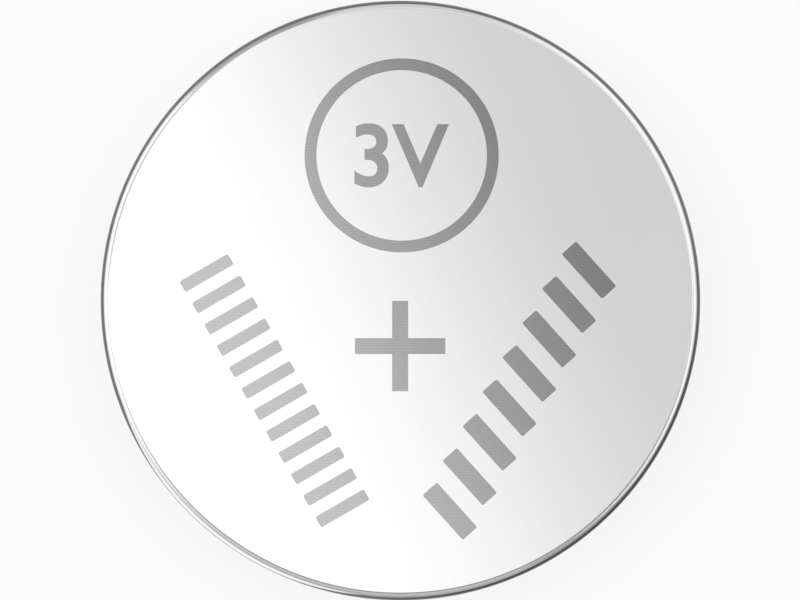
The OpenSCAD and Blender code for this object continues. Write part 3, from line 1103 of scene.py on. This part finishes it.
# %% Openings inside the rim
off_axis = add_node(pierced, "ShaderNodeVectorMath", {0: point}, operation="ABSOLUTE")
reaches = []
for share in ((1, 0, 0), (0, 1, 0)):
    half = add_node(pierced, "ShaderNodeVectorMath", {0: given["Half opening"], 1: share},
                    operation="MULTIPLY")
    corner = add_node(pierced, "ShaderNodeVectorMath", {0: off_axis, 1: half}, operation="ADD")
    reaches.append(add_node(pierced, "ShaderNodeVectorMath", {0: corner}, operation="LENGTH"))
far_corner = add_node(pierced, "ShaderNodeMath", {0: reaches[0], 1: reaches[1]},
                      operation="MAXIMUM")
inside = add_node(pierced, "ShaderNodeMath", {0: far_corner, 1: given["Reach"]},
                  operation="LESS_THAN")
openings = add_node(pierced, "GeometryNodeInstanceOnPoints",
                    {"Points": lattice, "Selection": inside, "Instance": opening})
real = add_node(pierced, "GeometryNodeRealizeInstances", {0: openings})
cut_out = add_node(pierced, "GeometryNodeMeshBoolean", {"Mesh 1": given["Disc"], "Mesh 2": real},
                   operation="DIFFERENCE", solver="MANIFOLD")
handed_out(pierced, cut_out, given["Finish"])

# %% [markdown]
# The grid's sizes are those of the CAD source. The opening's half width and half height follow from
# the pitch and from the strand's width, measured square to the strand.

# %% Collector grid
GRID_R = 7.39781
GRID_T = 0.1
GRID_EDGE = 0.02
PITCH = (2.1, 1.15)
STRAND_W = 0.22
COLUMNS = 9
ROWS = 15
OPENING_CORNER = 0.07
OPENING_FLARE = 1.05
GRID_MERGE = 0.0003

slant = math.hypot(*PITCH)
half_opening = [PITCH[way] / 2 - STRAND_W * slant / (2 * PITCH[1 - way]) for way in (0, 1)]
half_t = GRID_T / 2
grid_disc = turned([
    (0, half_t), (GRID_R - GRID_EDGE, half_t), (GRID_R, half_t - GRID_EDGE),
    (GRID_R, GRID_EDGE - half_t), (GRID_R - GRID_EDGE, -half_t), (0, -half_t)], grid_steel)
grid_mesh = grown(pierced, {
    "Columns": COLUMNS, "Rows": ROWS, "Pitch": (*(side * MM for side in PITCH), 0),
    "Half opening": (*(side * MM for side in half_opening), 0),
    "Reach": (GRID_R - STRAND_W) * MM, "Corner": OPENING_CORNER * MM, "Sheet": GRID_T * MM,
    "Edge": GRID_EDGE * MM, "Flare": OPENING_FLARE, "Finish": grid_steel}, grid_disc)
moved(grid_mesh, 0, 0, CAN_FLOOR_Z - half_t)
placed("collector-mesh", outward(grid_mesh, merge_mm=GRID_MERGE),
       "collector_grid")
print("diamond openings:", [round(2 * side, 2) for side in half_opening], "mm")

# %% [markdown]
# ## Separator: a dish of nonwoven felt
#
# The separator is a thin felt of polypropylene fibres, pressed to a dish that wraps the foot of the
# tablet. Its CAD solid is exact and hard. Real felt is soft: its rim is rounded and a little uneven.
# So it is turned again with round rim edges, and its rim sags in waves by a few hundredths of a
# millimetre. It never leaves the solid that it stands for, so it stays clear of its neighbours.

# %% Felt finish
# The fibres lie in three directions, in radians
FIBRE_TURNS = (0.35, 1.5, 2.6)

felt, tree, place = new_finish("nonwoven polypropylene felt")
fibres = [streaks(tree, place, size_mm=0.05, detail=2, stretch=(0.06, 1, 1), turn=fibre_turn)
          for fibre_turn in FIBRE_TURNS]
tangle = fibres[0]
for laid_over in fibres[1:]:
    tangle = add_node(tree, "ShaderNodeMath", {0: tangle, 1: laid_over}, operation="MAXIMUM")
tone = add_node(tree, "ShaderNodeMix", {0: tangle, MIX_A: "#dedcd5", MIX_B: "#faf9f6"},
                data_type="RGBA")
surfaced(tree, {"Distance": 0.03 * MM, "Height": tangle},
         {"Base Color": tone, "Roughness": 0.92, "Sheen Weight": 0.25, "Sheen Roughness": 0.5})

# %% Separator
FELT_T = 0.2
FELT_LOW_Z = 0.9
FELT_RIM_Z = 1.8
FELT_IN_R = 7.84781
FELT_BEND = 0.1
FELT_FLAT_R = [2, 4, 6, 7]
FELT_WALL_Z = [1.35, 1.5, 1.6]
WAVE_START_Z = 1.3
RIM_WAVE = 0.03
LONG_WAVES = 7
SHORT_WAVES = 17

felt_corner = (FELT_IN_R - FELT_BEND, FELT_LOW_Z + FELT_T + FELT_BEND)
rim_centre = (FELT_IN_R + FELT_T / 2, FELT_RIM_Z - FELT_T / 2)
felt_section = [(0, FELT_LOW_Z)]
felt_section += [(flat_r, FELT_LOW_Z) for flat_r in FELT_FLAT_R]
felt_section += bend(felt_corner, FELT_BEND + FELT_T, -90, 0)
felt_section += [(FELT_IN_R + FELT_T, height) for height in FELT_WALL_Z]
felt_section += bend(rim_centre, FELT_T / 2, 0, 180)
felt_section += [(FELT_IN_R, height) for height in FELT_WALL_Z[::-1]]
felt_section += bend(felt_corner, FELT_BEND, 0, -90)
felt_section += [(flat_r, FELT_LOW_Z + FELT_T) for flat_r in FELT_FLAT_R[::-1] + [0]]
felt_mesh = turned(felt_section, felt)
for vertex in felt_mesh.vertices:
    rise = max(0, vertex.co.z / MM - WAVE_START_Z) / (FELT_RIM_Z - WAVE_START_Z)
    turn = math.atan2(vertex.co.y, vertex.co.x)
    wave = 0.5 + 0.3 * math.sin(LONG_WAVES * turn) + 0.2 * math.sin(SHORT_WAVES * turn + 1)
    vertex.co.z -= rise * wave * RIM_WAVE * MM
placed("separator-felt", felt_mesh, "separator")
print("felt rim waves by up to", RIM_WAVE, "mm")

# %% [markdown]
# ## The end
#
# The fine pieces only soften edges inside the CAD solids. The picture is shown through the plain
# Standard view transform.

# %% View transform and the end
bpy.context.scene.view_settings.view_transform = "Standard"
